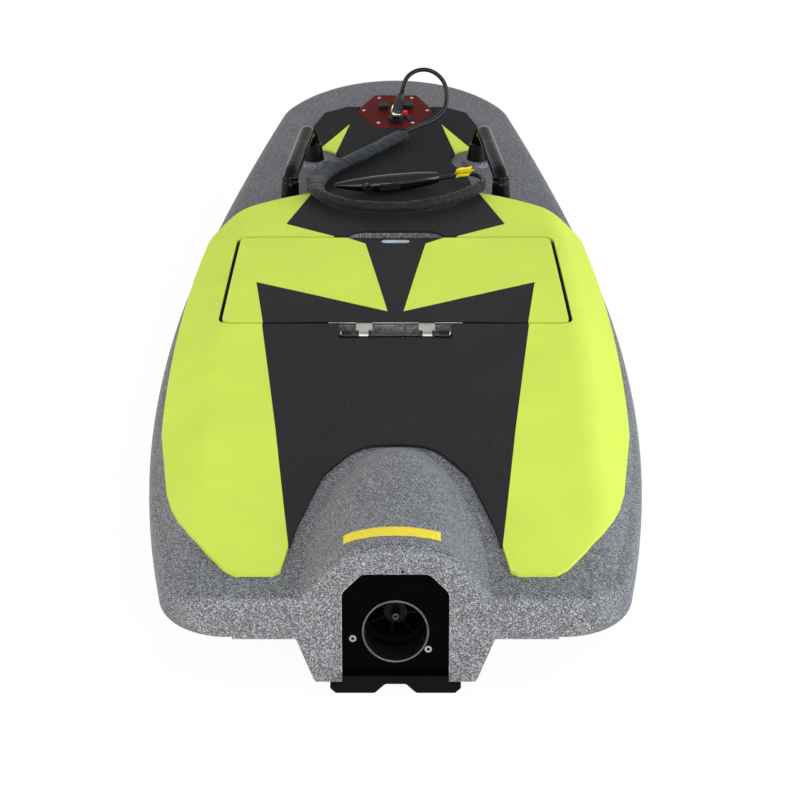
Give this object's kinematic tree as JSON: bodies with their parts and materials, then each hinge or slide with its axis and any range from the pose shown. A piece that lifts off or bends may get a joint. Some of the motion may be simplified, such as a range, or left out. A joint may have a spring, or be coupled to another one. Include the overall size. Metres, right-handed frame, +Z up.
{
  "type": "electric jet surfboard",
  "caption": "Powered surfboard with a raised foam-padded deck over a battery hatch, a jet unit at the stern, two grab handles and a corded hand control at the bow.",
  "frame": {"origin": "middle of the board's box on the floor, below it", "axes": "+Z up, +Y to the bow, +X to the right-hand rail"},
  "size_m": [0.688, 1.816, 0.2633],
  "materials": {
    "hull_grey": "satin, speckled",
    "transom_grey": "satin",
    "duct_black": "satin",
    "plate_black": "satin",
    "nozzle_metal": "satin",
    "motor_block": "satin",
    "seal_black": "matte",
    "battery_case": "satin",
    "hinge_metal": "satin",
    "steel": "brushed",
    "trim_black": "satin",
    "foam_black": "matte",
    "foam_lime": "matte",
    "plate_red": "satin",
    "cord_black": "satin",
    "strap_black": "woven",
    "button_red": "gloss",
    "tag_yellow": "satin",
    "sleeve_grey": "woven",
    "handset_black": "gloss",
    "handle_black": "gloss",
    "grip_black": "satin",
    "impeller_metal": "satin"
  },
  "bodies": {
    "board": {"hull": "hull_grey", "transom_plate": "transom_grey", "plate_screws": "steel", "pump_duct": "duct_black", "nozzle": "nozzle_metal", "stator": "duct_black", "motor": "motor_block", "intake_grate": "duct_black", "ride_plate": "plate_black", "lid_seal": "seal_black", "battery": "battery_case", "hinge_brackets": "hinge_metal", "hinge_pin": "steel", "deck_pad_black": "foam_black", "deck_pad_lime": "foam_lime", "foredeck_pad_lime": "foam_lime", "handle_left_bar": "handle_black", "handle_left_grip": "grip_black", "handle_left_feet": "trim_black", "handle_right_bar": "handle_black", "handle_right_grip": "grip_black", "handle_right_feet": "trim_black", "bow_plate": "plate_red", "bow_screws": "steel", "bow_socket": "trim_black", "bow_caps": "trim_black", "bow_button": "button_red", "bow_strap": "strap_black", "cord": "cord_black", "cord_sleeve": "sleeve_grey", "plug": "trim_black", "tag": "tag_yellow", "handset_body": "handset_black", "handset_knob": "trim_black", "handset_trigger": "trim_black"},
    "hatch": {"lid": "hull_grey", "lid_pad_black": "foam_black", "lid_pad_lime": "foam_lime", "hinge_leaf": "hinge_metal", "latch": "trim_black"},
    "rotor": {"impeller": "impeller_metal", "drive_shaft": "steel"}
  },
  "joints": [
    {"name": "hatch_hinge", "type": "hinge", "parent": "board", "child": "hatch", "pos_m": [0, -0.186, 0.169], "axis": [1, 0, 0], "range_deg": [0, 100]},
    {"name": "rotor_spin", "type": "hinge", "parent": "board", "child": "rotor", "pos_m": [0, -0.73, 0.079], "axis": [0, 1, 0], "continuous": true}
  ]
}
